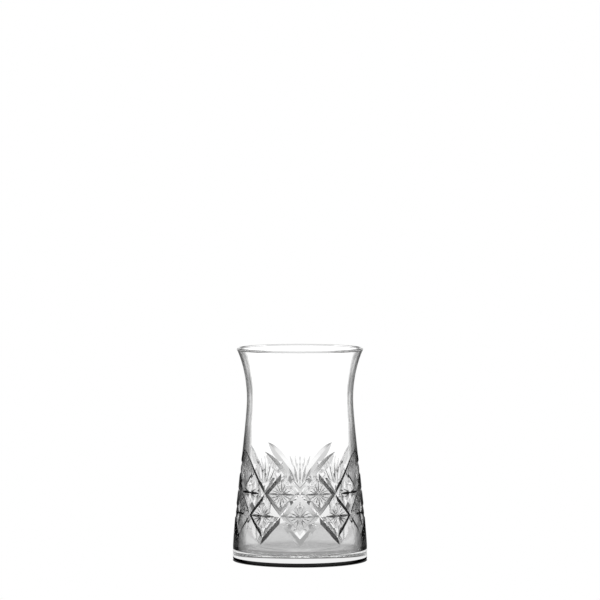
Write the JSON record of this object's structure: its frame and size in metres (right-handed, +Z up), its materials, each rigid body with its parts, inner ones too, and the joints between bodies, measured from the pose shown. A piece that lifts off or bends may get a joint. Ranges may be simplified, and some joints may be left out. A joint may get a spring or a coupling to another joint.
{
  "type": "turkish tea glass",
  "caption": "Clear waisted tea glass with a flared rim, a thick flat base and a cut diamond lattice with stars round its lower half.",
  "frame": {"origin": "middle of the flat foot, on the surface that the glass stands on", "axes": "+Z up along the axis of the glass; -Y is the side that the picture shows, where a lattice node faces forward"},
  "size_m": [0.0594, 0.0594, 0.094],
  "materials": {
    "glass": "fire-polished clear soda-lime glass, sharp cut facets"
  },
  "bodies": {
    "root": {"glass": "glass"}
  },
  "joints": []
}
